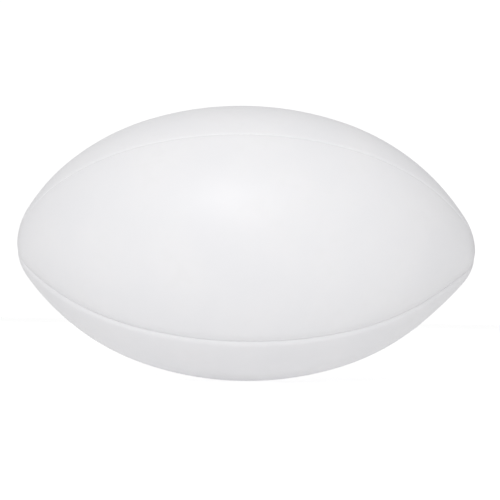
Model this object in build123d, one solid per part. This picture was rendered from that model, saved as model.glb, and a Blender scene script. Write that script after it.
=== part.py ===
"""Full-size rugby ball: four stitched panels, each a cover on two plies, over a rubber bladder.

The long axis is X, the front panel faces -Y, the top panel +Z and the valve panel +Y.
The origin is the ball's centre. Lengths are in millimetres and angles in degrees.
"""
from build123d import *
import os
from functools import cache
from math import atan2, cos, degrees, radians, sin, sqrt

os.makedirs("parts", exist_ok=True)

# ---- Outer form: belly, shoulder and nose arcs that meet tangentially ----
BALL_LENGTH = 290.0
BALL_DIAMETER = 174.6
BELLY_RADIUS = 202.0
NOSE_RADIUS = 37.8
BELLY_HALF_ANGLE = 18.0

# ---- Panel layers, from the outside in ----
COVER = 1.5
PLY = 0.45
GLUE = 0.05
FLANGE_DEPTH = 5.5        # how far the turned-in edges reach below the surface
FLANGE_STOP = 10.0        # the turned-in edges end this far short of each tip
VALLEY_DEPTH = 1.0
VALLEY_HALF_WIDTH = 3.0

# ---- Seam thread: a run on each side of the turned-in edges, and a pass through them per stitch ----
THREAD_RADIUS = 0.45
PASS_RADIUS = 0.4
THREAD_DEPTH = 3.6
THREAD_GAP = 0.1          # between a run and the ply beside it
THREAD_END_ANGLE = 52.0   # where the stitching ends, as an angle on the shoulder arc
STITCH_PITCH = 6.0

# ---- Bladder ----
BLADDER_WALL = 0.9
BLADDER_GAP = 0.1
CHANNEL_GAP = 0.15        # round the turned-in edges and their thread
RECESS_GAP = 0.3          # round the ring at the valve

# ---- Valve, on the +Y panel ----
PANEL_HOLE_RADIUS = 4.6
RING_RADIUS = 15.0
RING_THICKNESS = 0.8
PATCH_THICKNESS = 0.8
HOUSING_FLANGE_RADIUS = 11.0
HOUSING_FLANGE = 1.0
NECK_RADIUS = 4.5
NECK_TOP_DEPTH = 0.5
TUBE_RADIUS = 4.0
TUBE_END_DEPTH = 14.0
PLUG_RADIUS = 2.9
PLUG_CLEARANCE = 0.05
PLUG_HEAD_RADIUS = 3.6
PLUG_TOP_DEPTH = 0.6
PLUG_SEAT_DEPTH = 1.4
PLUG_END_DEPTH = 15.5
PLUG_CHAMFER = 0.8
MOUTH_RADIUS = 1.25
MOUTH_LENGTH = 4.0
LEAD_IN = 0.5
SLIT_WIDTH = 1.8
SLIT_GAP = 0.2

# ---- Worked out ----
HALF_LENGTH = BALL_LENGTH / 2
RADIUS = BALL_DIAMETER / 2
COTTON_DEPTH = COVER + GLUE
POLYESTER_DEPTH = COTTON_DEPTH + PLY + GLUE
STACK = POLYESTER_DEPTH + PLY
BLADDER_DEPTH = STACK + BLADDER_GAP
RING_DEPTH = STACK + GLUE
RECESS_DEPTH = RING_DEPTH + RING_THICKNESS + GLUE
PATCH_RADIUS = RING_RADIUS
PATCH_DEPTH = RECESS_DEPTH + BLADDER_WALL + GLUE
HOUSING_DEPTH = PATCH_DEPTH + PATCH_THICKNESS + GLUE
RUN_OFFSET = STACK + THREAD_GAP + THREAD_RADIUS
CHANNEL_HALF_WIDTH = RUN_OFFSET + THREAD_RADIUS + CHANNEL_GAP
BIG = 2 * BALL_LENGTH

BELLY_CENTRE = (0.0, RADIUS - BELLY_RADIUS)
NOSE_CENTRE = (HALF_LENGTH - NOSE_RADIUS, 0.0)


def shoulder_arc():
    """Radius, centre and end angle of the arc that joins the belly to the nose."""
    lean = radians(BELLY_HALF_ANGLE)
    out_x, out_y = sin(lean), cos(lean)
    gap_x = NOSE_CENTRE[0] - BELLY_RADIUS * out_x
    gap_y = -BELLY_CENTRE[1] - BELLY_RADIUS * out_y
    along = gap_x * out_x + gap_y * out_y
    radius = (NOSE_RADIUS**2 - gap_x**2 - gap_y**2) / (2 * (along + NOSE_RADIUS))
    centre_x = (BELLY_RADIUS - radius) * out_x
    centre_y = BELLY_CENTRE[1] + (BELLY_RADIUS - radius) * out_y
    end_angle = degrees(atan2(NOSE_CENTRE[0] - centre_x, -centre_y))
    return radius, (centre_x, centre_y), end_angle


SHOULDER_RADIUS, SHOULDER_CENTRE, NOSE_ANGLE = shoulder_arc()


def outline_arc(centre, radius, start, end):
    """An arc in the XY plane between two angles, each measured from +Y towards +X."""

    def at(angle):
        lean = radians(angle)
        return (centre[0] + radius * sin(lean), centre[1] + radius * cos(lean))

    return ThreePointArc(at(start), at((start + end) / 2), at(end))


def middle_arcs(depth, end_angle):
    """Shoulder, belly and shoulder arcs at a depth below the surface, from -X to +X."""
    centre_x, centre_y = SHOULDER_CENTRE
    shoulder = SHOULDER_RADIUS - depth
    belly = BELLY_RADIUS - depth
    return [
        outline_arc((-centre_x, centre_y), shoulder, -end_angle, -BELLY_HALF_ANGLE),
        outline_arc(BELLY_CENTRE, belly, -BELLY_HALF_ANGLE, BELLY_HALF_ANGLE),
        outline_arc((centre_x, centre_y), shoulder, BELLY_HALF_ANGLE, end_angle),
    ]


def half_lens(depth, nose_end=90.0):
    """Half of the ball's lengthwise section at a depth below the surface, on the XY plane."""
    nose_x = NOSE_CENTRE[0]
    nose = NOSE_RADIUS - depth
    arcs = [
        outline_arc((-nose_x, 0), nose, -nose_end, -NOSE_ANGLE),
        *middle_arcs(depth, NOSE_ANGLE),
        outline_arc((nose_x, 0), nose, NOSE_ANGLE, nose_end),
    ]
    return make_face(arcs + [Line(arcs[-1] @ 1, arcs[0] @ 0)])


@cache
def whole(depth):
    """The solid inside the surface at a depth. Its closing edge is kept away from seams and valve."""
    return Rot(20, 0, 0) * revolve(half_lens(depth), Axis.X, 360)


def gore(depth):
    """The quarter of whole(depth) round +Z, its flat sides as far in from the seams as its skin."""
    if depth == 0:
        return Rot(45, 0, 0) * revolve(half_lens(depth), Axis.X, 90)
    quadrant = Box(BIG, BIG, BIG, align=(Align.CENTER, Align.MIN, Align.MIN))
    return whole(depth) & (Pos(0, 0, depth * sqrt(2)) * Rot(45, 0, 0) * quadrant)


def seam_plane(angle):
    """Plane of the seam at an angle from +Z towards -Y: local x along X, local y outwards."""
    out = Vector(0, -sin(radians(angle)), cos(radians(angle)))
    return Plane(origin=(0, 0, 0), x_dir=(1, 0, 0), z_dir=Vector(1, 0, 0).cross(out))


def valley_cut():
    """What the valley takes off the top panel along one seam, from the seam plane inwards."""
    slope = VALLEY_DEPTH / VALLEY_HALF_WIDTH
    over = 0.5
    start = -1.0
    end = VALLEY_HALF_WIDTH + over / slope
    past_tip = 95.0
    deep = Pos(0, 0, start) * half_lens(VALLEY_DEPTH - slope * start, past_tip)
    shallow = Pos(0, 0, end) * half_lens(-over, past_tip)
    keep = loft([deep, shallow], ruled=True)
    slab = Pos(0, -2, start) * Box(BIG, BIG, end - start, align=(Align.CENTER, Align.MIN, Align.MIN))
    return seam_plane(-45) * (slab - keep)


def panel_layer(depth, thickness):
    """One layer of the top panel: its skin and its turned-in edges, which stop short of the tips."""
    middle = Box(2 * (HALF_LENGTH - FLANGE_STOP), BIG, BIG)
    layer = gore(depth)
    if depth == 0:
        cut = valley_cut()
        layer = layer - cut - mirror(cut, about=Plane.XZ)
    layer = layer - gore(depth + thickness)
    layer = layer - whole(FLANGE_DEPTH)
    return layer - (whole(depth + thickness) - middle)


def seam_thread():
    """The thread of one seam on the XY plane: a run on each side, and a pass at every stitch."""
    path = Wire(middle_arcs(THREAD_DEPTH, THREAD_END_ANGLE))
    profile = Plane(path @ 0, z_dir=path % 0) * Circle(THREAD_RADIUS)
    run = sweep(profile, path)
    stitches = round(path.length / STITCH_PITCH)
    passes = [
        Pos(path @ ((i + 0.5) / stitches)) * Cylinder(PASS_RADIUS, 2 * RUN_OFFSET)
        for i in range(stitches)
    ]
    return Pos(0, 0, RUN_OFFSET) * run + Pos(0, 0, -RUN_OFFSET) * run + passes


def channels(grow):
    """The space round all the turned-in edges, grown by a margin."""
    length = 2 * (HALF_LENGTH - FLANGE_STOP + CHANNEL_GAP + grow)
    plate = Box(length, BIG, 2 * (CHANNEL_HALF_WIDTH + grow))
    cross = seam_plane(45) * plate + seam_plane(-45) * plate
    return cross - whole(FLANGE_DEPTH + CHANNEL_GAP + grow)


def along_y(radius, top_depth, end_depth):
    """A round bar on the valve's axis between two depths below the +Y surface."""
    bar = Cylinder(radius, end_depth - top_depth, align=(Align.CENTER, Align.CENTER, Align.MIN))
    return Pos(0, RADIUS - end_depth, 0) * Rot(-90, 0, 0) * bar


def valve_disc(depth, thickness, radius):
    """A round piece of skin on the valve's axis, as curved as the ball at its depth."""
    return (along_y(radius, -5, 20) & whole(depth)) - whole(depth + thickness)


def bladder_form(grow):
    """The bladder's outside, or with grow its inside: channels for the edges, recess for the ring."""
    form = whole(BLADDER_DEPTH + grow) - channels(grow)
    recess = along_y(RING_RADIUS + RECESS_GAP + grow, -5, 20) - whole(RECESS_DEPTH + grow)
    return form - recess


def valve_housing():
    """Flange inside the bladder, neck through the wall, and a tube inwards, all round one bore."""
    housing = valve_disc(HOUSING_DEPTH, HOUSING_FLANGE, HOUSING_FLANGE_RADIUS)
    housing += along_y(NECK_RADIUS, NECK_TOP_DEPTH, HOUSING_DEPTH + HOUSING_FLANGE)
    housing += along_y(TUBE_RADIUS, NECK_TOP_DEPTH, TUBE_END_DEPTH)
    housing -= along_y(PLUG_RADIUS + PLUG_CLEARANCE, -1, TUBE_END_DEPTH + 1)
    return housing - along_y(PLUG_HEAD_RADIUS + PLUG_CLEARANCE, -1, PLUG_SEAT_DEPTH)


def valve_plug():
    """Removable insert: a round mouth for the needle, then a slit that closes by itself."""
    plug = along_y(PLUG_HEAD_RADIUS, PLUG_TOP_DEPTH, PLUG_SEAT_DEPTH)
    plug += along_y(PLUG_RADIUS, PLUG_TOP_DEPTH, PLUG_END_DEPTH)
    plug = chamfer(plug.edges().sort_by(Axis.Y)[0], PLUG_CHAMFER)
    mouth_end = PLUG_TOP_DEPTH + LEAD_IN + MOUTH_LENGTH
    plug -= along_y(MOUTH_RADIUS, 0, mouth_end)
    funnel = Cone(MOUTH_RADIUS, MOUTH_RADIUS + LEAD_IN, LEAD_IN)
    plug -= Pos(0, RADIUS - PLUG_TOP_DEPTH - LEAD_IN / 2, 0) * Rot(-90, 0, 0) * funnel
    slit_length = PLUG_END_DEPTH - mouth_end + 1
    slit = Box(SLIT_WIDTH, slit_length, SLIT_GAP, align=(Align.CENTER, Align.MAX, Align.CENTER))
    return plug - Pos(0, RADIUS - mouth_end, 0) * slit


# ---- Panels: the top one is modelled, and turned about X for the others ----
PANEL_TURNS = {"top": 0, "back": -90, "bottom": 180, "front": 90}
LAYERS = {
    "cover": panel_layer(0, COVER),
    "cotton_ply": panel_layer(COTTON_DEPTH, PLY),
    "polyester_ply": panel_layer(POLYESTER_DEPTH, PLY),
}
for panel, turn in PANEL_TURNS.items():
    for layer_name, layer in LAYERS.items():
        piece = Rot(turn, 0, 0) * layer
        if panel == "back":
            piece -= along_y(PANEL_HOLE_RADIUS, -5, 10)
        export_step(piece, f"parts/{panel}_panel_{layer_name}.step")

# ---- Seams ----
SEAM_ANGLES = {"top_front": 45, "bottom_front": 135, "bottom_back": 225, "top_back": 315}
thread = seam_thread()
for seam, angle in SEAM_ANGLES.items():
    export_step(seam_plane(angle) * thread, f"parts/seam_thread_{seam}.step")

# ---- Bladder and valve ----
hole = along_y(PANEL_HOLE_RADIUS, -5, 10)
export_step(bladder_form(0) - bladder_form(BLADDER_WALL) - hole, "parts/bladder.step")
ring = valve_disc(RING_DEPTH, RING_THICKNESS, RING_RADIUS) - hole
export_step(ring, "parts/valve_hole_reinforcement.step")
patch = valve_disc(PATCH_DEPTH, PATCH_THICKNESS, PATCH_RADIUS) - hole
export_step(patch, "parts/bladder_valve_patch.step")
export_step(valve_housing(), "parts/valve_housing.step")
export_step(valve_plug(), "parts/valve_plug.step")
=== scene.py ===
import math

import bmesh
import bpy
import numpy as np
from mathutils import Matrix, Quaternion, Vector


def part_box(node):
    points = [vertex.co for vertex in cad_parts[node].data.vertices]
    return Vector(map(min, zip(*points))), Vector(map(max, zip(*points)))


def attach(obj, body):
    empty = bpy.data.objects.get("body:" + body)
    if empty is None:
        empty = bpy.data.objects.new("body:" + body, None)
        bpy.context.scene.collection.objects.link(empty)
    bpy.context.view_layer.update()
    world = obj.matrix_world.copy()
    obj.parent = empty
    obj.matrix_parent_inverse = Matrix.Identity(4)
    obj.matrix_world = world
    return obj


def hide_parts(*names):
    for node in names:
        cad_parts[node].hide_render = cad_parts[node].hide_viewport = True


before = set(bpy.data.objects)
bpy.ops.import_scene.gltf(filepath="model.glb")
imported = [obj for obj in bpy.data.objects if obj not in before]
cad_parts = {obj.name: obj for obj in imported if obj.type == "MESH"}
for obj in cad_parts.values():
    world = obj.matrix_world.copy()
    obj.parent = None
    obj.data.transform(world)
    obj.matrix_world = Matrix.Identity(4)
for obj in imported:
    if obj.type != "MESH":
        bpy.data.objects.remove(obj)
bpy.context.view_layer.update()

# A smooth white four-panel rugby ball. The long axis is X, the front panel faces -Y, the top panel +Z,
# and the valve is in the back panel, at +Y. Lengths are in metres. A panel is built round +Z, where
# its local y runs across it, and is then turned about X to its own side.

MM = 0.001

# ---- Outer form ----
HALF_LENGTH = 145 * MM
RADIUS = -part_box("front_panel_cover")[0].y
BELLY_RADIUS = 202 * MM
NOSE_RADIUS = 37.8 * MM
BELLY_ANGLE = math.radians(18)

# ---- Panel layers ----
COVER = 1.5 * MM
PLY = 0.45 * MM
GLUE = 0.05 * MM
COTTON_DEPTH = COVER + GLUE
POLYESTER_DEPTH = COTTON_DEPTH + PLY + GLUE
FLANGE_DEPTH = 5.5 * MM
BEND_CENTRE = 2.7 * MM  # distance from the seam and depth of the centre that all inner bends share
EDGE_ZONE = 7 * MM  # strip beside a seam that gets its own closely spaced rows
EDGE_FULL_RADIUS = 12.4 * MM  # nearer to a tip than this girth radius, edge distances shrink with it
FLANGE_FADE = (8 * MM, 17 * MM)  # distances from the tip between which the turned-in edge grows
WIDEST_EDGE_SINE = 0.7  # near the tips an edge stops just short of the 45 degrees to its panel's middle

# ---- Seam valley ----
UPPER_SIDES = {"top": (1, -1), "front": (1,), "back": (-1,), "bottom": ()}
UPPER_ROLL = (0.35 * MM, 2 * MM)  # depth and width of a panel's roll along the two upper seams
LOWER_ROLLS = {"front": (1.1 * MM, 7 * MM), "back": (1.1 * MM, 7 * MM), "bottom": (1.1 * MM, 4 * MM)}
NOTCH_DEPTH = 0.2 * MM
NOTCH_WIDTH = 0.25 * MM
TIP_VALLEY = 0.3  # share of the valley's depth that is left near the tips
TIP_VALLEY_RADIUS = 30 * MM
POLE_RADIUS = 5 * MM  # girth radius inside which the valley fades out
PUCKER_DEPTH = 0.03 * MM
PUCKER_RADII = (10 * MM, 40 * MM)  # girth radii between which the puckers grow
PUCKER_STRIP = (2 * MM, 6 * MM)  # distances from the seam at which a pucker is highest and ends

# ---- How far each tip has settled out of line: end of the ball, (along X, along Z) ----
TIP_SETS = {1: (2.0 * MM, -3.2 * MM), -1: (0.9 * MM, -2.3 * MM)}
TIP_SET_START = 114 * MM

# ---- Stitching ----
STITCH_PITCH = 6 * MM
THREAD_RADIUS = 0.42 * MM
THREAD_DEPTH = 3.6 * MM
THREAD_REACH = 3.05 * MM
THREAD_END_ANGLE = math.radians(52)
THREAD_CORNER = 0.8 * MM
THREAD_LEAN = math.radians(4)  # most that a stitch leans to either side
STITCH_SEED = 7

# ---- Bladder ----
BLADDER_DEPTH = 2.6 * MM
BLADDER_WALL = 0.9 * MM
CHANNEL_DEPTH = 5.7 * MM
CHANNEL_HALF_WIDTH = 3.65 * MM
CHANNEL_BANK = 1.9 * MM

# ---- Valve ----
HOLE_RADIUS = 4.6 * MM
RING_DEPTH = 2.55 * MM
RING_RADIUS = 15 * MM
RING_THICKNESS = 0.8 * MM
RECESS_DEPTH = 3.42 * MM
PATCH_DEPTH = 4.35 * MM
PATCH_RADIUS = 15 * MM
PATCH_THICKNESS = 0.8 * MM
HOUSING_DEPTH = 5.2 * MM
SLIT_SIZE = (1.8 * MM, 12 * MM, 0.2 * MM)
SLIT_DEPTH = 10.6 * MM

# ---- How finely the layers are divided: the gap between stations along the ball, columns across a
# panel, and the cells each way that the surround of the valve hole takes up ----
COVER_GRID = (1.5 * MM, 48, (7, 4))
PLY_GRID = (3 * MM, 24, (4, 2))
BLADDER_GRID = (2.9 * MM, 16, (8, 3))

# ---- Light: what the camera sees is brighter than what lights the ball ----
FLOOR_HALF_SIZE = 4.0
FLOOR_GREY = 0.45
FLOOR_GLOW, FLOOR_GLOW_SEEN = 0.45, 0.70
SKY_LIGHT, SKY_SEEN = 0.57, 1.05
SKY_DARK = 0.34  # the sky's light on its weak side
SKY_DARK_SIDE = (1.0, 0.5, 0.0)
SKY_FALLOFF = (0.55, 0.95)  # cosines of the angle from that side between which the light weakens
LAMPS = {  # place, diameter, power
    "key_softbox": ((-0.2, -1.9, 1.2), 0.9, 15.6),
    "front_softbox": ((0.0, -2.6, 0.55), 0.9, 2.1),
    "top_softbox": ((0.0, 0.0, 2.6), 2.0, 4.3),
    "back_softbox": ((-0.6, 2.4, 0.75), 1.2, 7.0),
}

# ---- Camera ----
CAMERA_DISTANCE = 0.8158
CAMERA_AZIMUTH = math.radians(-0.99)
CAMERA_ELEVATION = math.radians(-2.93)
CAMERA_ROLL = math.radians(0.93)
CAMERA_LENS = 92.05
CAMERA_SHIFT = (0.0110, -0.0133)


class Outline:
    """The lengthwise outline: belly, shoulder and nose arcs that meet tangentially."""

    def __init__(self):
        out = np.array([math.sin(BELLY_ANGLE), math.cos(BELLY_ANGLE)])
        belly_centre = np.array([0, RADIUS - BELLY_RADIUS])
        nose_centre = np.array([HALF_LENGTH - NOSE_RADIUS, 0])
        gap = nose_centre - belly_centre - BELLY_RADIUS * out
        shoulder = (NOSE_RADIUS**2 - gap @ gap) / (2 * (gap @ out + NOSE_RADIUS))
        shoulder_centre = belly_centre + (BELLY_RADIUS - shoulder) * out
        rise = nose_centre - shoulder_centre
        self.centres = np.array([belly_centre, shoulder_centre, nose_centre])
        self.radii = np.array([BELLY_RADIUS, shoulder, NOSE_RADIUS])
        self.angles = np.array([0, BELLY_ANGLE, math.atan2(rise[0], rise[1]), math.pi / 2])
        spans = self.radii * np.diff(self.angles)
        self.reaches = np.concatenate([[0], np.cumsum(spans)])
        self.half_arc = self.reaches[-1]

    def at(self, along, depth=0.0):
        """x and distance from the long axis, at a distance along the surface from the middle."""
        along, depth = np.broadcast_arrays(np.asarray(along, float), depth)
        reach = np.abs(along)
        arc = np.clip(np.searchsorted(self.reaches, reach, side="right") - 1, 0, 2)
        angle = self.angles[arc] + (reach - self.reaches[arc]) / self.radii[arc]
        radius = self.radii[arc] - depth
        x = np.sign(along) * (self.centres[arc, 0] + radius * np.sin(angle))
        girth = self.centres[arc, 1] + radius * np.cos(angle)
        return x, np.maximum(girth, 0)

    def height(self, x, y, depth):
        """Height over the belly of a point of the surface at a depth, in a panel's own frame."""
        girth = self.centres[0, 1] + np.sqrt((self.radii[0] - depth) ** 2 - x**2)
        return np.sqrt(girth**2 - y**2)


OUTLINE = Outline()
PANEL_TURNS = {"top": 0.0, "back": -90.0, "bottom": 180.0, "front": 90.0}  # degrees about X


def smooth_step(value, low, high):
    t = np.clip((value - low) / (high - low), 0, 1)
    return t * t * (3 - 2 * t)


def tip_fade(along):
    """Nearly 0 at the tips to 1 where the turned-in edge has its full depth."""
    return 0.03 + 0.97 * smooth_step(OUTLINE.half_arc - np.abs(along), *FLANGE_FADE)


def valley(panel, side, distance, along, girth):
    """Depth of a panel's skin at a distance from a seam: a rolled shoulder, a fine notch and puckers."""
    depth, width = UPPER_ROLL if side in UPPER_SIDES[panel] else LOWER_ROLLS[panel]
    roll = depth * np.clip(1 - distance / width, 0, 1) ** 2
    near_tip = TIP_VALLEY + (1 - TIP_VALLEY) * smooth_step(girth, 0, TIP_VALLEY_RADIUS)
    near_tip *= smooth_step(girth, 0, POLE_RADIUS)
    notch = NOTCH_DEPTH * np.exp(-distance / NOTCH_WIDTH) * near_tip
    ripple = np.cos(2 * math.pi * along / STITCH_PITCH) * smooth_step(girth, *PUCKER_RADII)
    hump = smooth_step(distance, 0, PUCKER_STRIP[0]) * (1 - smooth_step(distance, *PUCKER_STRIP))
    return (roll + notch) * near_tip + PUCKER_DEPTH * ripple * hump


# ---------------------------------------------------------------- mesh building


def settle_tips(points):
    """Points with both ends of the ball moved a little out of line, most at the tips."""
    moved = points.copy()
    for end, (along, up) in TIP_SETS.items():
        reach = (end * points[:, 0] - TIP_SET_START) / (HALF_LENGTH - TIP_SET_START)
        share = np.clip(reach, 0, 1) ** 2
        moved[:, 0] += along * share
        moved[:, 2] += up * share
    return moved


def mesh_object(name, vertices, faces, uvs, turn):
    """A smooth-shaded object from a vertex array and faces, turned about X, its doubles merged."""
    mesh = bpy.data.meshes.new(name)
    turned = vertices @ np.array(Matrix.Rotation(math.radians(turn), 3, "X")).T
    mesh.from_pydata(settle_tips(turned).tolist(), [], faces)
    if uvs is not None:
        layer = mesh.uv_layers.new(name="cloth")
        corners = np.zeros(len(mesh.loops), np.int32)
        mesh.loops.foreach_get("vertex_index", corners)
        layer.data.foreach_set("uv", uvs[corners].astype(np.float32).ravel())
    bm = bmesh.new()
    bm.from_mesh(mesh)
    bmesh.ops.remove_doubles(bm, verts=bm.verts, dist=1e-6)
    bmesh.ops.dissolve_degenerate(bm, edges=bm.edges, dist=1e-7)
    bmesh.ops.recalc_face_normals(bm, faces=bm.faces)
    bm.to_mesh(mesh)
    bm.free()
    mesh.shade_smooth()
    piece = bpy.data.objects.new(name, mesh)
    bpy.context.scene.collection.objects.link(piece)
    return piece


def sharpen(piece, degrees):
    """Marks edges that bend by more than an angle as sharp, so that flat and round faces stay crisp."""
    piece.data.set_sharp_from_angle(angle=math.radians(degrees))


def finish_piece(piece, material, body, node):
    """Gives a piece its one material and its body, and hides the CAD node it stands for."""
    piece.data.materials.clear()
    piece.data.materials.append(material)
    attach(piece, body)
    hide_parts(node)


def bend(offset, steps):
    """Quarter turn round the shared bend centre, from along the skin to along the turned-in edge."""
    radius = BEND_CENTRE - offset
    angles = np.linspace(0, math.pi / 2, steps)
    return [(BEND_CENTRE - radius * math.sin(a), BEND_CENTRE - radius * math.cos(a)) for a in angles]


def edge_angle(distance, girth):
    """Angle round the ball that a distance from the seam takes up at a girth radius."""
    return np.arcsin(np.clip(distance / np.maximum(girth, 1e-9), 0, WIDEST_EDGE_SINE))


def loft(sections):
    """Points on a grid of stations by ring places, and the angles round the ball, from its columns."""
    x, girth, angle = (np.array([section[part] for section in sections]).T for part in range(3))
    return np.stack([x, girth * np.sin(angle), girth * np.cos(angle)], axis=-1), angle


def cover_edge():
    """Half of a cover's section, as two runs of (distance from the seam, depth).

    The first run is the outer skin beside the seam, where the depth is None because it follows the
    valley. The second goes down the turned-in edge, round its foot and back up to the inner skin.
    """
    outer = [(d * MM, None) for d in (7, 5.8, 4.8, 3.9, 3.1, 2.4, 1.8, 1.3, 0.9, 0.58, 0.34, 0.16, 0.02)]
    face = [(0.02 * MM, d * MM) for d in (2.1, 2.69, 3.6, 4.5, 5.2)]
    foot = [(0.25 * MM, FLANGE_DEPTH), (COVER - 0.25 * MM, FLANGE_DEPTH)]
    back = [(COVER, d * MM) for d in (5.2, 4.3, 3.4)]
    inner = bend(COVER, 6)[::-1] + [(d * MM, COVER) for d in (3.6, 5, 7)]
    return outer, face + foot + back + inner


def ply_edge(depth):
    """The same for a ply at a depth, with an even skin in place of the valley."""
    outer = [(d * MM, depth) for d in (7, 5, 3.6)] + bend(depth, 5)
    far = depth + PLY
    face = [(depth, d * MM) for d in (3.4, 4.4, 5.3)]
    foot = [(depth + 0.1 * MM, FLANGE_DEPTH), (far - 0.1 * MM, FLANGE_DEPTH)]
    back = [(far, d * MM) for d in (5.3, 4.4, 3.4)]
    inner = bend(far, 5)[::-1] + [(d * MM, far) for d in (3.6, 5, 7)]
    return outer, face + foot + back + inner


def panel_shell(name, panel, edge, skin, thickness, grid):
    """A closed panel layer: a section that runs round skin and turned-in edges, lofted tip to tip.

    edge is the half section, skin the skin's depth and grid how finely it is divided. Its UV map is in
    metres along and across the panel. The back panel's layers have the valve hole.
    """
    station_gap, columns, hole_cells = grid
    has_hole = panel == "back"
    stations = 2 * round(OUTLINE.half_arc / station_gap)
    along = np.linspace(-OUTLINE.half_arc, OUTLINE.half_arc, stations + 1)
    surface_girth = OUTLINE.at(along)[1]
    shrink = np.minimum(surface_girth / EDGE_FULL_RADIUS, 1)
    fade = tip_fade(along)
    outer, rest = edge
    fractions = np.linspace(-1, 1, columns + 1)[1:-1]

    def edge_column(distance, depth, side):
        near = distance * shrink
        if depth is None:
            deep = valley(panel, side, near, along, surface_girth)
        else:
            below = max(depth - BEND_CENTRE, 0)
            deep = depth - below + below * fade
        x, girth = OUTLINE.at(along, deep)
        return x, girth, side * (math.pi / 4 - edge_angle(near, girth))

    def skin_column(fraction, depth):
        x, girth = OUTLINE.at(along, depth)
        return x, girth, fraction * (math.pi / 4 - edge_angle(EDGE_ZONE * shrink, girth))

    sections = [skin_column(f, skin) for f in fractions]
    sections += [edge_column(d, deep, 1) for d, deep in outer + rest]
    sections += [skin_column(f, skin + thickness) for f in fractions[::-1]]
    sections += [edge_column(d, deep, -1) for d, deep in (outer + rest)[::-1]]
    points, angle = loft(sections)
    rows, ring = angle.shape
    vertices = points.reshape(-1, 3)
    uvs = np.stack([np.repeat(along, ring), (angle * surface_girth[:, None]).ravel()], axis=-1)

    def index(i, j):
        return i * ring + j % ring

    inner_start = len(fractions) + len(outer + rest)
    middle = stations // 2
    inside = set()
    if has_hole:
        span_rows, span_columns = hole_cells
        centre = columns // 2 - 1
        for i in range(middle - span_rows, middle + span_rows):
            for j in range(centre - span_columns, centre + span_columns):
                inside.add((i, j))
                inside.add((i, inner_start + j))
    faces = [
        (index(i, j), index(i, j + 1), index(i + 1, j + 1), index(i + 1, j))
        for i in range(rows - 1)
        for j in range(ring)
        if (i, j) not in inside
    ]
    if has_hole:
        around = rectangle_loop(middle, span_rows, centre, span_columns)
        outer_loop = [index(i, j) for i, j in around]
        last = 2 * centre + inner_start
        inner_loop = [index(i, last - j) for i, j in around]
        lip = [
            (0.75, None, skin), (0.5, None, skin), (0.25, None, skin),
            (None, 0.45 * MM, skin), (None, 0.18 * MM, skin + 0.05 * MM),
            (None, 0.04 * MM, skin + 0.2 * thickness), (None, 0.0, skin + 0.4 * thickness),
            (None, 0.0, skin + 0.8 * thickness), (None, 0.1 * MM, skin + thickness),
            (0.5, None, skin + thickness),
        ]
        vertices, uvs, faces = hole_chain(vertices, uvs, faces, outer_loop, inner_loop, lip)
    return mesh_object(name, vertices, faces, uvs, PANEL_TURNS[panel])


def rectangle_loop(middle_row, span_rows, middle_column, span_columns):
    """Grid places round a block of cells, in order."""
    top, bottom = middle_row - span_rows, middle_row + span_rows
    left, right = middle_column - span_columns, middle_column + span_columns
    loop = [(top, j) for j in range(left, right)]
    loop += [(i, right) for i in range(top, bottom)]
    loop += [(bottom, j) for j in range(right, left, -1)]
    return loop + [(i, left) for i in range(bottom, top, -1)]


def hole_chain(vertices, uvs, faces, outer_loop, inner_loop, rings):
    """Joins two square openings, one on each side of a wall, by rings round the valve hole.

    Each ring is (share of the way from the hole out to the square, or None; distance outside the
    hole's edge, or None; depth).
    """
    square = vertices[outer_loop][:, :2]
    direction = square / np.linalg.norm(square, axis=1)[:, None]
    circle = direction * HOLE_RADIUS
    made, made_uv, loops = [vertices], [uvs], [list(outer_loop)]
    count = len(vertices)
    for share, outside, depth in rings:
        if share is None:
            place = direction * (HOLE_RADIUS + outside)
        else:
            place = circle + (square - circle) * share
        height = OUTLINE.height(place[:, 0], place[:, 1], depth)
        made.append(np.column_stack([place, height]))
        made_uv.append(place)
        loops.append(list(range(count, count + len(place))))
        count += len(place)
    loops.append(list(inner_loop))
    size = len(outer_loop)
    for first, second in zip(loops, loops[1:]):
        for k in range(size):
            after = (k + 1) % size
            faces.append((first[k], first[after], second[after], second[k]))
    return np.concatenate(made), np.concatenate(made_uv), faces


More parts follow.
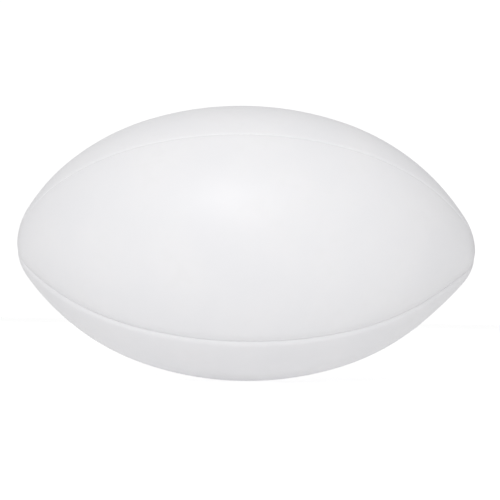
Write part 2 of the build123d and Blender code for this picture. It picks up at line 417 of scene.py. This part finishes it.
def bladder_shell(name):
    """The bladder: an outer and an inner skin with a channel along each seam, joined at the valve hole."""
    station_gap, columns, (span_rows, span_columns) = BLADDER_GRID
    stations = 2 * round(OUTLINE.half_arc / station_gap)
    along = np.linspace(-OUTLINE.half_arc, OUTLINE.half_arc, stations + 1)
    surface_girth = OUTLINE.at(along)[1]
    shrink = np.minimum(surface_girth / EDGE_FULL_RADIUS, 1)
    fade = tip_fade(along)
    near = [d * MM for d in (0, 1.8, 3.2, 3.7, 4.0, 4.3, 4.7, 5.3, 6.1, 7)]
    fractions = np.linspace(-1, 1, columns + 1)[1:-1]

    shallowest = BLADDER_DEPTH + 0.3 * MM

    def column(centre, side, distance, fraction, grow):
        floor = shallowest + (CHANNEL_DEPTH - shallowest) * fade
        start = CHANNEL_HALF_WIDTH + 0.4 * grow
        bank = 0.0
        if distance is not None:
            bank = 1 - smooth_step(distance, start, start + CHANNEL_BANK)
        depth = BLADDER_DEPTH + grow + (floor - BLADDER_DEPTH) * bank
        x, girth = OUTLINE.at(along, depth)
        reach = EDGE_ZONE if distance is None else distance
        share = side if distance is not None else fraction
        return x, girth, centre + share * (math.pi / 4 - edge_angle(reach * shrink, girth))

    vertices, faces, loops = [], [], []
    for grow in (0.0, BLADDER_WALL):
        sections = []
        for quarter in range(4):
            centre = quarter * math.pi / 2
            sections += [column(centre, -1, d, None, grow) for d in near]
            sections += [column(centre, 0, None, f, grow) for f in fractions]
            sections += [column(centre, 1, d, None, grow) for d in near[:0:-1]]
        points, angle = loft(sections)
        rows, ring = angle.shape
        start = sum(len(v) for v in vertices)
        middle_row, middle_column = stations // 2, len(near) + columns // 2 - 1
        for i in range(rows - 1):
            for j in range(ring):
                row_in = middle_row - span_rows <= i < middle_row + span_rows
                column_in = middle_column - span_columns <= j < middle_column + span_columns
                if not (row_in and column_in):
                    a, b = start + i * ring + j, start + i * ring + (j + 1) % ring
                    faces.append((a, b, b + ring, a + ring))
        around = rectangle_loop(middle_row, span_rows, middle_column, span_columns)
        loops.append([start + i * ring + j for i, j in around])
        vertices.append(points.reshape(-1, 3))
    vertices = np.concatenate(vertices)
    wall_in = RECESS_DEPTH + BLADDER_WALL - 0.02 * MM
    inner = BLADDER_DEPTH + BLADDER_WALL
    rings = [
        (None, 14.4 * MM, BLADDER_DEPTH), (None, 12.6 * MM, BLADDER_DEPTH),
        (None, 11.8 * MM, BLADDER_DEPTH + 0.15 * MM), (None, 11.2 * MM, RECESS_DEPTH - 0.1 * MM),
        (None, 10.7 * MM, RECESS_DEPTH), (None, 7 * MM, RECESS_DEPTH), (None, 3.5 * MM, RECESS_DEPTH),
        (None, 0.3 * MM, RECESS_DEPTH), (None, 0.0, RECESS_DEPTH + 0.2 * MM),
        (None, 0.0, wall_in - 0.2 * MM), (None, 0.3 * MM, wall_in), (None, 5 * MM, wall_in),
        (None, 11 * MM, wall_in), (None, 11.7 * MM, wall_in - 0.1 * MM),
        (None, 12.6 * MM, inner + 0.15 * MM), (None, 13.4 * MM, inner), (None, 15 * MM, inner),
    ]
    blank = np.zeros((len(vertices), 2))
    vertices, _, faces = hole_chain(vertices, blank, faces, loops[0], loops[1], rings)
    return mesh_object(name, vertices, faces, None, PANEL_TURNS["back"])


def valve_turning(name, profile, segments=64):
    """A piece turned round the valve's axis, from a closed profile.

    Each of its points is (radius, depth, share of the ball's curve that it follows).
    """
    angles = np.linspace(0, 2 * math.pi, segments, endpoint=False)
    rows = []
    for radius, depth, follow in profile:
        x, y = radius * np.cos(angles), radius * np.sin(angles)
        curved = OUTLINE.height(x, y, depth)
        flat = RADIUS - depth
        rows.append(np.column_stack([x, y, follow * curved + (1 - follow) * flat]))
    vertices = np.concatenate(rows)
    count = len(profile)
    faces = []
    for i in range(count):
        for k in range(segments):
            after = (k + 1) % segments
            upper, lower = i * segments, (i + 1) % count * segments
            faces.append((upper + k, upper + after, lower + after, lower + k))
    return mesh_object(name, vertices, faces, vertices[:, :2], PANEL_TURNS["back"])


def curved_washer(name, inner, outer, depth, thickness, edge):
    """A flat ring that follows the ball's curve, with rounded rims."""
    far = depth + thickness
    steps = np.linspace(inner + edge, outer - edge, 8)
    profile = [(r, depth, 1) for r in steps]
    profile += [(outer - 0.3 * edge, depth + 0.3 * edge, 1), (outer, depth + edge, 1)]
    profile += [(outer, far - edge, 1), (outer - 0.3 * edge, far - 0.3 * edge, 1)]
    profile += [(r, far, 1) for r in steps[::-1]]
    profile += [(inner + 0.3 * edge, far - 0.3 * edge, 1), (inner, far - edge, 1)]
    profile += [(inner, depth + edge, 1), (inner + 0.3 * edge, depth + 0.3 * edge, 1)]
    return valve_turning(name, profile)


def valve_neck(name):
    """Housing: a flange on the patch's inner face, a neck with a seat for the insert, a tube inwards."""
    flange_in, flange_out = HOUSING_DEPTH, HOUSING_DEPTH + 1 * MM
    neck, tube, bore, seat = 4.5 * MM, 4 * MM, 2.95 * MM, 3.65 * MM
    profile = [
        (seat, 1.4 * MM, 0), (seat, 0.72 * MM, 0), (seat + 0.06 * MM, 0.56 * MM, 0),
        (seat + 0.2 * MM, 0.5 * MM, 0), (neck - 0.25 * MM, 0.5 * MM, 0),
        (neck - 0.07 * MM, 0.57 * MM, 0), (neck, 0.75 * MM, 0), (neck, 2 * MM, 0),
        (neck, flange_in - 0.6 * MM, 0), (neck + 0.03 * MM, flange_in, 0.5),
        (6 * MM, flange_in, 1), (8.5 * MM, flange_in, 1), (10.7 * MM, flange_in, 1),
        (10.93 * MM, flange_in + 0.1 * MM, 1), (11 * MM, flange_in + 0.3 * MM, 1),
        (11 * MM, flange_out - 0.4 * MM, 1), (10.9 * MM, flange_out - 0.12 * MM, 1),
        (10.5 * MM, flange_out, 1), (8 * MM, flange_out, 1), (5.6 * MM, flange_out, 1),
        (4.8 * MM, flange_out + 0.15 * MM, 0.7), (4.2 * MM, flange_out + 0.6 * MM, 0.3),
        (tube, flange_out + 1.5 * MM, 0), (tube, 10 * MM, 0), (tube, 13.6 * MM, 0),
        (tube - 0.1 * MM, 13.9 * MM, 0), (tube - 0.3 * MM, 14 * MM, 0), (bore + 0.2 * MM, 14 * MM, 0),
        (bore, 13.8 * MM, 0), (bore, 8 * MM, 0), (bore, 1.6 * MM, 0), (bore + 0.15 * MM, 1.4 * MM, 0),
    ]
    piece = valve_turning(name, profile, 72)
    sharpen(piece, 40)
    return piece


def valve_insert(name):
    """The removable insert: a low head, a mouth with a funnel, a grooved shank and a slit behind it."""
    head, shank, mouth = 3.6 * MM, 2.88 * MM, 1.25 * MM
    profile = [
        (0.01 * MM, 5.1 * MM, 0), (mouth, 5.1 * MM, 0), (mouth, 3 * MM, 0), (mouth, 1.15 * MM, 0),
        (mouth + 0.12 * MM, 0.95 * MM, 0), (mouth + 0.36 * MM, 0.72 * MM, 0),
        (mouth + 0.6 * MM, 0.63 * MM, 0), (2.2 * MM, 0.62 * MM, 0), (2.35 * MM, 0.7 * MM, 0),
        (2.5 * MM, 0.7 * MM, 0), (2.65 * MM, 0.62 * MM, 0), (3.2 * MM, 0.62 * MM, 0),
        (3.45 * MM, 0.66 * MM, 0), (head, 0.82 * MM, 0), (head, 1.2 * MM, 0),
        (head - 0.08 * MM, 1.36 * MM, 0), (head - 0.2 * MM, 1.4 * MM, 0), (shank + 0.1 * MM, 1.4 * MM, 0),
        (shank, 1.5 * MM, 0),
    ]
    for groove in (4, 7, 10):
        start = groove * MM
        profile += [(shank, start, 0), (shank - 0.14 * MM, start + 0.15 * MM, 0)]
        profile += [(shank - 0.14 * MM, start + 0.45 * MM, 0), (shank, start + 0.6 * MM, 0)]
    profile += [
        (shank, 14.6 * MM, 0), (shank - 0.15 * MM, 15 * MM, 0), (2.3 * MM, 15.4 * MM, 0),
        (1.6 * MM, 15.5 * MM, 0), (0.01 * MM, 15.5 * MM, 0),
    ]
    piece = valve_turning(name, profile)
    sharpen(piece, 40)
    cutter_mesh = bpy.data.meshes.new("slit")
    cutter = bpy.data.objects.new("slit", cutter_mesh)
    bm = bmesh.new()
    bmesh.ops.create_cube(bm, size=1)
    bmesh.ops.scale(bm, vec=SLIT_SIZE, verts=bm.verts)
    bmesh.ops.translate(bm, vec=(0, RADIUS - SLIT_DEPTH, 0), verts=bm.verts)
    bm.to_mesh(cutter_mesh)
    bm.free()
    bpy.context.scene.collection.objects.link(cutter)
    cut = piece.modifiers.new("slit", "BOOLEAN")
    cut.operation, cut.object, cut.solver = "DIFFERENCE", cutter, "EXACT"
    evaluated = piece.evaluated_get(bpy.context.evaluated_depsgraph_get())
    carved = bpy.data.meshes.new_from_object(evaluated)
    piece.modifiers.clear()
    piece.data = carved
    bpy.data.objects.remove(cutter)
    return piece


# ---------------------------------------------------------------- stitching


def saddle_stitch_tree():
    """Nodes that lay a closed loop of thread through the edges at every pitch along a line."""
    tree = bpy.data.node_groups.new("saddle_stitch", "GeometryNodeTree")
    sockets = {}

    def named(name, kind, default=None):
        socket = tree.interface.new_socket(name, in_out="INPUT", socket_type=kind)
        if default is not None:
            socket.default_value = default
        sockets[name] = socket.identifier

    named("Line", "NodeSocketGeometry")
    named("Pitch", "NodeSocketFloat", STITCH_PITCH)
    named("Thread Radius", "NodeSocketFloat", THREAD_RADIUS)
    named("Reach", "NodeSocketFloat", THREAD_REACH)
    named("Seam Normal", "NodeSocketVector")
    named("Tilt", "NodeSocketFloat", THREAD_LEAN)
    named("Corner Radius", "NodeSocketFloat", THREAD_CORNER)
    named("Seed", "NodeSocketInt", STITCH_SEED)
    named("Thread", "NodeSocketMaterial")
    tree.interface.new_socket("Stitches", in_out="OUTPUT", socket_type="NodeSocketGeometry")

    def add(kind, settings=None, **links):
        node = tree.nodes.new(kind)
        for key, value in (settings or {}).items():
            setattr(node, key, value)
        for key, value in links.items():
            target = node.inputs[key.replace("_", " ")]
            if isinstance(value, bpy.types.NodeSocket):
                tree.links.new(value, target)
            else:
                target.default_value = value
        return node

    given = add("NodeGroupInput").outputs
    line = add("GeometryNodeResampleCurve", {"mode": "LENGTH"}, Curve=given["Line"], Length=given["Pitch"])
    loop_length = add("ShaderNodeMath", {"operation": "MULTIPLY_ADD"})
    tree.links.new(given["Thread Radius"], loop_length.inputs[0])
    loop_length.inputs[1].default_value = -2.1  # the thread's width and a small gap between two stitches
    tree.links.new(given["Pitch"], loop_length.inputs[2])
    loop_width = add("ShaderNodeMath", {"operation": "MULTIPLY"})
    tree.links.new(given["Reach"], loop_width.inputs[0])
    loop_width.inputs[1].default_value = 2
    frame_line = add(
        "GeometryNodeCurvePrimitiveQuadrilateral",
        {"mode": "RECTANGLE"},
        Width=loop_length.outputs[0],
        Height=loop_width.outputs[0],
    )
    rounded = add(
        "GeometryNodeFilletCurve",
        {"mode": "POLY"},
        Curve=frame_line.outputs[0],
        Count=2,
        Radius=given["Corner Radius"],
    )
    section = add(
        "GeometryNodeCurvePrimitiveCircle",
        {"mode": "RADIUS"},
        Resolution=6,
        Radius=given["Thread Radius"],
    )
    thread = add("GeometryNodeCurveToMesh", Curve=rounded.outputs[0], Profile_Curve=section.outputs[0])
    smooth = add("GeometryNodeSetShadeSmooth", Geometry=thread.outputs[0])
    tangent = add("GeometryNodeInputTangent")
    along = add("FunctionNodeAlignRotationToVector", {"axis": "X"}, Vector=tangent.outputs[0])
    across = add(
        "FunctionNodeAlignRotationToVector",
        {"axis": "Y", "pivot_axis": "X"},
        Rotation=along.outputs[0],
        Vector=given["Seam Normal"],
    )
    low = add("ShaderNodeMath", {"operation": "MULTIPLY"})
    tree.links.new(given["Tilt"], low.inputs[0])
    low.inputs[1].default_value = -1
    lean = add("FunctionNodeRandomValue", {"data_type": "FLOAT"}, Seed=given["Seed"])
    tree.links.new(low.outputs[0], lean.inputs[2])
    tree.links.new(given["Tilt"], lean.inputs[3])
    lean_axes = add("ShaderNodeCombineXYZ", Z=lean.outputs[1])
    lean_turn = add("FunctionNodeEulerToRotation", Euler=lean_axes.outputs[0])
    turned = add("FunctionNodeRotateRotation", {"rotation_space": "LOCAL"}, Rotation=across.outputs[0])
    tree.links.new(lean_turn.outputs[0], turned.inputs[1])
    placed = add(
        "GeometryNodeInstanceOnPoints",
        Points=line.outputs[0],
        Instance=smooth.outputs[0],
        Rotation=turned.outputs[0],
    )
    real = add("GeometryNodeRealizeInstances", Geometry=placed.outputs[0])
    dressed = add("GeometryNodeSetMaterial", Geometry=real.outputs[0], Material=given["Thread"])
    out = add("NodeGroupOutput")
    tree.links.new(dressed.outputs[0], out.inputs[0])
    return tree, sockets


def seam_stitching(name, tree, sockets, angle, material):
    """The thread of the seam at an angle from +Z towards -Y, as one mesh."""
    outwards = Vector((0, -math.sin(angle), math.cos(angle)))
    end = OUTLINE.reaches[1] + OUTLINE.radii[1] * (THREAD_END_ANGLE - BELLY_ANGLE)
    along = np.linspace(-end, end, 161)
    x, girth = OUTLINE.at(along, THREAD_DEPTH)
    path = settle_tips(np.column_stack([x, girth * outwards.y, girth * outwards.z]))
    curve = bpy.data.curves.new(name + "_line", "CURVE")
    curve.dimensions = "3D"
    spline = curve.splines.new("POLY")
    spline.points.add(len(along) - 1)
    for point, place in zip(spline.points, path):
        point.co = (*place, 1)
    holder = bpy.data.objects.new(name + "_line", curve)
    bpy.context.scene.collection.objects.link(holder)
    nodes = holder.modifiers.new("stitches", "NODES")
    nodes.node_group = tree
    nodes[sockets["Seam Normal"]] = Vector((1, 0, 0)).cross(outwards)
    nodes[sockets["Seed"]] = STITCH_SEED + round(math.degrees(angle))
    nodes[sockets["Thread"]] = material
    evaluated = holder.evaluated_get(bpy.context.evaluated_depsgraph_get())
    mesh = bpy.data.meshes.new_from_object(evaluated)
    holder.modifiers.clear()
    bpy.data.objects.remove(holder)
    mesh.name = name
    piece = bpy.data.objects.new(name, mesh)
    bpy.context.scene.collection.objects.link(piece)
    return piece


# ---------------------------------------------------------------- finishes


class Signal:
    """A shader socket that takes part in sums, so that 1 - mask adds its Math node."""

    def __init__(self, finish, socket):
        self.finish, self.socket = finish, socket

    def _math(self, operation, first, second):
        node = self.finish.node("ShaderNodeMath", {"operation": operation}, {0: first, 1: second})
        return Signal(self.finish, node.outputs[0])

    def __add__(self, other):
        return self._math("ADD", self, other)

    def __radd__(self, other):
        return self._math("ADD", other, self)

    def __sub__(self, other):
        return self._math("SUBTRACT", self, other)

    def __rsub__(self, other):
        return self._math("SUBTRACT", other, self)

    def __mul__(self, other):
        return self._math("MULTIPLY", self, other)

    def __rmul__(self, other):
        return self._math("MULTIPLY", other, self)


class Finish:
    """One material under construction: its shader, and one method that adds any node."""

    def __init__(self, name, **constants):
        self.material = bpy.data.materials.new(name)
        self.material.use_nodes = True
        self.tree = self.material.node_tree
        self.shader = self.tree.nodes["Principled BSDF"]
        for key, value in constants.items():
            self.shader.inputs[key.replace("_", " ")].default_value = value

    def node(self, kind, settings=None, inputs=None):
        node = self.tree.nodes.new(kind)
        for key, value in (settings or {}).items():
            setattr(node, key, value)
        for key, value in (inputs or {}).items():
            self.feed(node.inputs[key], value)
        return node

    def feed(self, socket, value):
        if isinstance(value, Signal):
            self.tree.links.new(value.socket, socket)
        elif isinstance(value, bpy.types.NodeSocket):
            self.tree.links.new(value, socket)
        else:
            socket.default_value = value

    def signal(self, socket):
        return Signal(self, socket)

    def place(self):
        """The piece's own coordinates."""
        return self.node("ShaderNodeTexCoord").outputs["Object"]

    def noise(self, size, detail, roughness=0.5):
        """Noise of about one blob per size, from 0 to 1."""
        node = self.node(
            "ShaderNodeTexNoise",
            {"noise_dimensions": "3D"},
            {"Vector": self.place(), "Scale": 1 / size, "Detail": detail, "Roughness": roughness},
        )
        return self.signal(node.outputs[0])

    def spread(self, value, low, high):
        """A smooth step from 0 where the value is low to 1 where it is high."""
        node = self.node(
            "ShaderNodeMapRange",
            {"clamp": True, "interpolation_type": "SMOOTHSTEP"},
            {"Value": value, 1: low, 2: high},
        )
        return self.signal(node.outputs[0])

    def mix(self, share, first, second):
        node = self.node("ShaderNodeMix", {"data_type": "RGBA"}, {0: share, 6: first, 7: second})
        return node.outputs[2]

    def bump(self, height, distance, strength, under=None):
        inputs = {"Height": height, "Distance": distance, "Strength": strength}
        if under is not None:
            inputs["Normal"] = under
        return self.node("ShaderNodeBump", None, inputs).outputs[0]

    def set(self, **links):
        for key, value in links.items():
            self.feed(self.shader.inputs[key.replace("_", " ")], value)
        return self.material


def smooth_white_cover():
    """Satin white polyurethane: a fine pore grain, faint handling marks and an uneven sheen."""
    finish = Finish("smooth_white_cover", IOR=1.46, Coat_Roughness=0.35, Coat_Weight=0.05)
    mottle = finish.noise(38 * MM, 3)
    cloud = finish.noise(9 * MM, 4, 0.55)
    smudge = finish.spread(cloud * mottle, 0.26, 0.42)
    white = finish.mix(
        finish.spread(mottle, 0.3, 0.7), (0.862, 0.860, 0.879, 1), (0.882, 0.877, 0.892, 1)
    )
    colour = finish.mix(smudge * 0.12, white, (0.80, 0.80, 0.80, 1))
    pores = finish.node(
        "ShaderNodeTexVoronoi",
        {"feature": "DISTANCE_TO_EDGE"},
        {"Vector": finish.place(), "Scale": 1 / (0.75 * MM)},
    )
    grain = finish.spread(finish.signal(pores.outputs["Distance"]), 0.0, 0.35)
    fine = finish.noise(0.35 * MM, 2)
    leather = finish.bump(grain + fine * 0.6, 0.012 * MM, 0.5)
    waviness = finish.bump(finish.noise(14 * MM, 2), 0.12 * MM, 0.35, leather)
    roughness = 0.40 + cloud * 0.10 + smudge * 0.05
    return finish.set(Base_Color=colour, Roughness=roughness, Normal=waviness)


def woven_cloth(name, colour, painted_shade_and_wear, yarn, fuzz):
    """Plain weave on the cloth's own UV map: crossed yarns, each rounded and slightly uneven, with painted
    shade on their sides and crossings.
    """
    finish = Finish(name, Sheen_Weight=0.25, Sheen_Roughness=0.6)
    uv = finish.node("ShaderNodeUVMap", {"uv_map": "cloth"}).outputs[0]
    parts = finish.node("ShaderNodeSeparateXYZ", None, {0: uv})

    def ridge(socket):
        turn = finish.signal(socket) * (math.pi / yarn)
        return finish.signal(finish.node("ShaderNodeMath", {"operation": "SINE"}, {0: turn}).outputs[0])

    warp, weft = ridge(parts.outputs[0]), ridge(parts.outputs[1])
    over = finish.spread(warp * weft, -0.15, 0.15)
    crown = warp * warp * over + weft * weft * (1 - over)
    slub = finish.noise(yarn * 6, 3)
    worn = finish.noise(yarn * 60, 3)
    # Yarn crowns take the main colour and their sides and crossings the darker colour: painted shade
    # between the yarns.
    tone = finish.mix(finish.spread(crown, 0.1, 0.9), painted_shade_and_wear, colour)
    # Worn patches at random also darken towards that same darker colour.
    tone = finish.mix(finish.spread(worn, 0.35, 0.75) * 0.35, tone, painted_shade_and_wear)
    height = crown + slub * fuzz
    return finish.set(
        Base_Color=tone, Roughness=0.82 + slub * 0.1, Normal=finish.bump(height, yarn * 0.35, 0.8)
    )


def waxed_thread():
    """Thread of fine fibres under a thin coat of wax, stained unevenly."""
    finish = Finish("waxed_thread", Coat_Weight=0.25, Coat_Roughness=0.3)
    fibre = finish.noise(0.25 * MM, 3)
    stain = finish.noise(6 * MM, 2)
    colour = finish.mix(finish.spread(stain, 0.3, 0.7), (0.78, 0.75, 0.66, 1), (0.86, 0.84, 0.78, 1))
    return finish.set(
        Base_Color=colour, Roughness=0.5 + fibre * 0.2, Normal=finish.bump(fibre, 0.05 * MM, 0.7)
    )


def dusted_rubber(name, colour, dust, amount, roughness):
    """Black rubber with a fine mould texture and talc left on it in patches."""
    finish = Finish(name, IOR=1.52)
    patches = finish.noise(17 * MM, 5, 0.6)
    speckle = finish.noise(0.6 * MM, 2)
    talc = finish.spread(patches + speckle * 0.25, 0.5, 0.85) * amount
    tone = finish.mix(talc, colour, dust)
    skin = finish.noise(0.9 * MM, 3)
    return finish.set(
        Base_Color=tone,
        Roughness=roughness + talc * 0.35 + skin * 0.08,
        Normal=finish.bump(skin + speckle * 0.4, 0.03 * MM, 0.6),
    )


# ---------------------------------------------------------------- the ball's pieces


def build_panels():
    """Four covers and eight plies. The back ones have the valve hole."""
    cover = smooth_white_cover()
    cloths = {
        "cotton": (COTTON_DEPTH, woven_cloth(
            "cotton_ply", (0.80, 0.76, 0.66, 1), (0.55, 0.50, 0.41, 1), 0.75 * MM, 0.5)),
        "polyester": (POLYESTER_DEPTH, woven_cloth(
            "polyester_ply", (0.83, 0.84, 0.85, 1), (0.60, 0.62, 0.64, 1), 0.5 * MM, 0.2)),
    }
    for panel in PANEL_TURNS:
        skin = panel_shell(f"{panel}_cover", panel, cover_edge(), 0.0, COVER, COVER_GRID)
        finish_piece(skin, cover, "ball", f"{panel}_panel_cover")
        for cloth, (depth, material) in cloths.items():
            ply = panel_shell(f"{panel}_{cloth}_lining", panel, ply_edge(depth), depth, PLY, PLY_GRID)
            finish_piece(ply, material, "ball", f"{panel}_panel_{cloth}_ply")
            declare_ply(depth, "cover" if cloth == "cotton" else "cotton_ply")


def declare_ply(depth, rests_on):
    """Works out a ply's outline along the panel and its width across the middle and both turned-in edges,
    and keeps neither.
    """
    x, girth = OUTLINE.at(np.linspace(-OUTLINE.half_arc, OUTLINE.half_arc, 400), depth)
    width = float(math.pi / 2 * (RADIUS - depth) + 2 * (FLANGE_DEPTH - depth))


def build_stitching():
    tree, sockets = saddle_stitch_tree()
    thread = waxed_thread()
    angles = {"top_front": 45, "bottom_front": 135, "bottom_back": 225, "top_back": 315}
    for seam, degrees in angles.items():
        piece = seam_stitching(f"stitching_{seam}", tree, sockets, math.radians(degrees), thread)
        finish_piece(piece, thread, "ball", f"seam_thread_{seam}")


def build_bladder():
    rubber = dusted_rubber(
        "bladder_rubber", (0.035, 0.035, 0.036, 1), (0.55, 0.54, 0.52, 1), 0.55, 0.5)
    finish_piece(bladder_shell("rubber_bladder"), rubber, "ball", "bladder")
    patch = curved_washer("valve_patch", HOLE_RADIUS, PATCH_RADIUS, PATCH_DEPTH, PATCH_THICKNESS, 0.2 * MM)
    sheet = dusted_rubber("patch_rubber", (0.03, 0.03, 0.032, 1), (0.5, 0.5, 0.48, 1), 0.3, 0.55)
    finish_piece(patch, sheet, "ball", "bladder_valve_patch")


def build_valve():
    canvas = woven_cloth(
        "reinforcement_canvas", (0.72, 0.69, 0.60, 1), (0.45, 0.42, 0.35, 1), 0.9 * MM, 0.6)
    ring = curved_washer("valve_ring", HOLE_RADIUS, RING_RADIUS, RING_DEPTH, RING_THICKNESS, 0.15 * MM)
    finish_piece(ring, canvas, "ball", "valve_hole_reinforcement")
    black = dusted_rubber("valve_rubber", (0.028, 0.028, 0.029, 1), (0.4, 0.4, 0.39, 1), 0.06, 0.42)
    finish_piece(valve_neck("valve_neck"), black, "ball", "valve_housing")
    soft = dusted_rubber("plug_rubber", (0.045, 0.045, 0.047, 1), (0.45, 0.45, 0.44, 1), 0.04, 0.36)
    finish_piece(valve_insert("valve_insert"), soft, "valve_plug", "valve_plug")


# ---------------------------------------------------------------- stage, light and camera


def pale_floor():
    """A pale sheet under the ball that glows a little, so that it melts into the surround."""
    mesh = bpy.data.meshes.new("floor")
    corners = [(-1, -1), (1, -1), (1, 1), (-1, 1)]
    points = [(FLOOR_HALF_SIZE * x, FLOOR_HALF_SIZE * y, -RADIUS) for x, y in corners]
    mesh.from_pydata(points, [], [(0, 1, 2, 3)])
    floor = bpy.data.objects.new("floor", mesh)
    bpy.context.scene.collection.objects.link(floor)
    finish = Finish("pale_floor", Roughness=0.9, Emission_Strength=1.0)
    seen = finish.node("ShaderNodeLightPath").outputs["Is Camera Ray"]
    glow = finish.mix(seen, (FLOOR_GLOW,) * 3 + (1,), (FLOOR_GLOW_SEEN,) * 3 + (1,))
    finish.set(Base_Color=(FLOOR_GREY,) * 3 + (1,), Emission_Color=glow)
    mesh.materials.append(finish.material)


def studio_light():
    """Broad lamps in a surround that looks white but lights the ball weakly, most so from one side."""
    world = bpy.data.worlds.new("studio")
    bpy.context.scene.world = world
    world.use_nodes = True
    tree = world.node_tree
    seen = tree.nodes.new("ShaderNodeLightPath")
    strength = tree.nodes.new("ShaderNodeMix")
    strength.data_type = "FLOAT"
    tree.links.new(seen.outputs["Is Camera Ray"], strength.inputs[0])
    direction = tree.nodes.new("ShaderNodeTexCoord")
    towards = tree.nodes.new("ShaderNodeVectorMath")
    towards.operation = "DOT_PRODUCT"
    towards.inputs[1].default_value = Vector(SKY_DARK_SIDE).normalized()
    tree.links.new(direction.outputs["Generated"], towards.inputs[0])
    falloff = tree.nodes.new("ShaderNodeMapRange")
    falloff.interpolation_type = "SMOOTHSTEP"
    falloff.inputs[1].default_value, falloff.inputs[2].default_value = SKY_FALLOFF
    falloff.inputs[3].default_value, falloff.inputs[4].default_value = SKY_LIGHT, SKY_DARK
    tree.links.new(towards.outputs["Value"], falloff.inputs[0])
    tree.links.new(falloff.outputs[0], strength.inputs[2])
    strength.inputs[3].default_value = SKY_SEEN
    background = tree.nodes["Background"]
    background.inputs[0].default_value = (1, 1, 1, 1)
    tree.links.new(strength.outputs[0], background.inputs[1])
    for name, (place, size, power) in LAMPS.items():
        lamp = bpy.data.lights.new(name, "AREA")
        lamp.shape, lamp.size, lamp.energy = "DISK", size, power
        holder = bpy.data.objects.new(name, lamp)
        holder.location = place
        holder.rotation_euler = (-Vector(place)).to_track_quat("-Z", "Y").to_euler()
        holder.visible_camera = False
        # The back lamp's reflection would draw a bright line along the upper outline.
        holder.visible_glossy = name != "back_softbox"
        bpy.context.scene.collection.objects.link(holder)


def camera():
    """Almost square on to the front panel, slightly below its middle."""
    data = bpy.data.cameras.new("camera")
    data.sensor_width, data.lens = 36, CAMERA_LENS
    data.shift_x, data.shift_y = CAMERA_SHIFT
    data.clip_start, data.clip_end = 0.05, 50
    holder = bpy.data.objects.new("camera", data)
    level = math.cos(CAMERA_ELEVATION)
    back = Vector((
        math.sin(CAMERA_AZIMUTH) * level, -math.cos(CAMERA_AZIMUTH) * level, math.sin(CAMERA_ELEVATION)))
    holder.location = back * CAMERA_DISTANCE
    holder.rotation_mode = "QUATERNION"
    aim = (-back).to_track_quat("-Z", "Y")
    holder.rotation_quaternion = aim @ Quaternion((0, 0, 1), CAMERA_ROLL)
    bpy.context.scene.collection.objects.link(holder)
    bpy.context.scene.camera = holder
    bpy.context.scene.view_settings.view_transform = "Standard"


camera()
pale_floor()
studio_light()
build_panels()
build_stitching()
build_bladder()
build_valve()
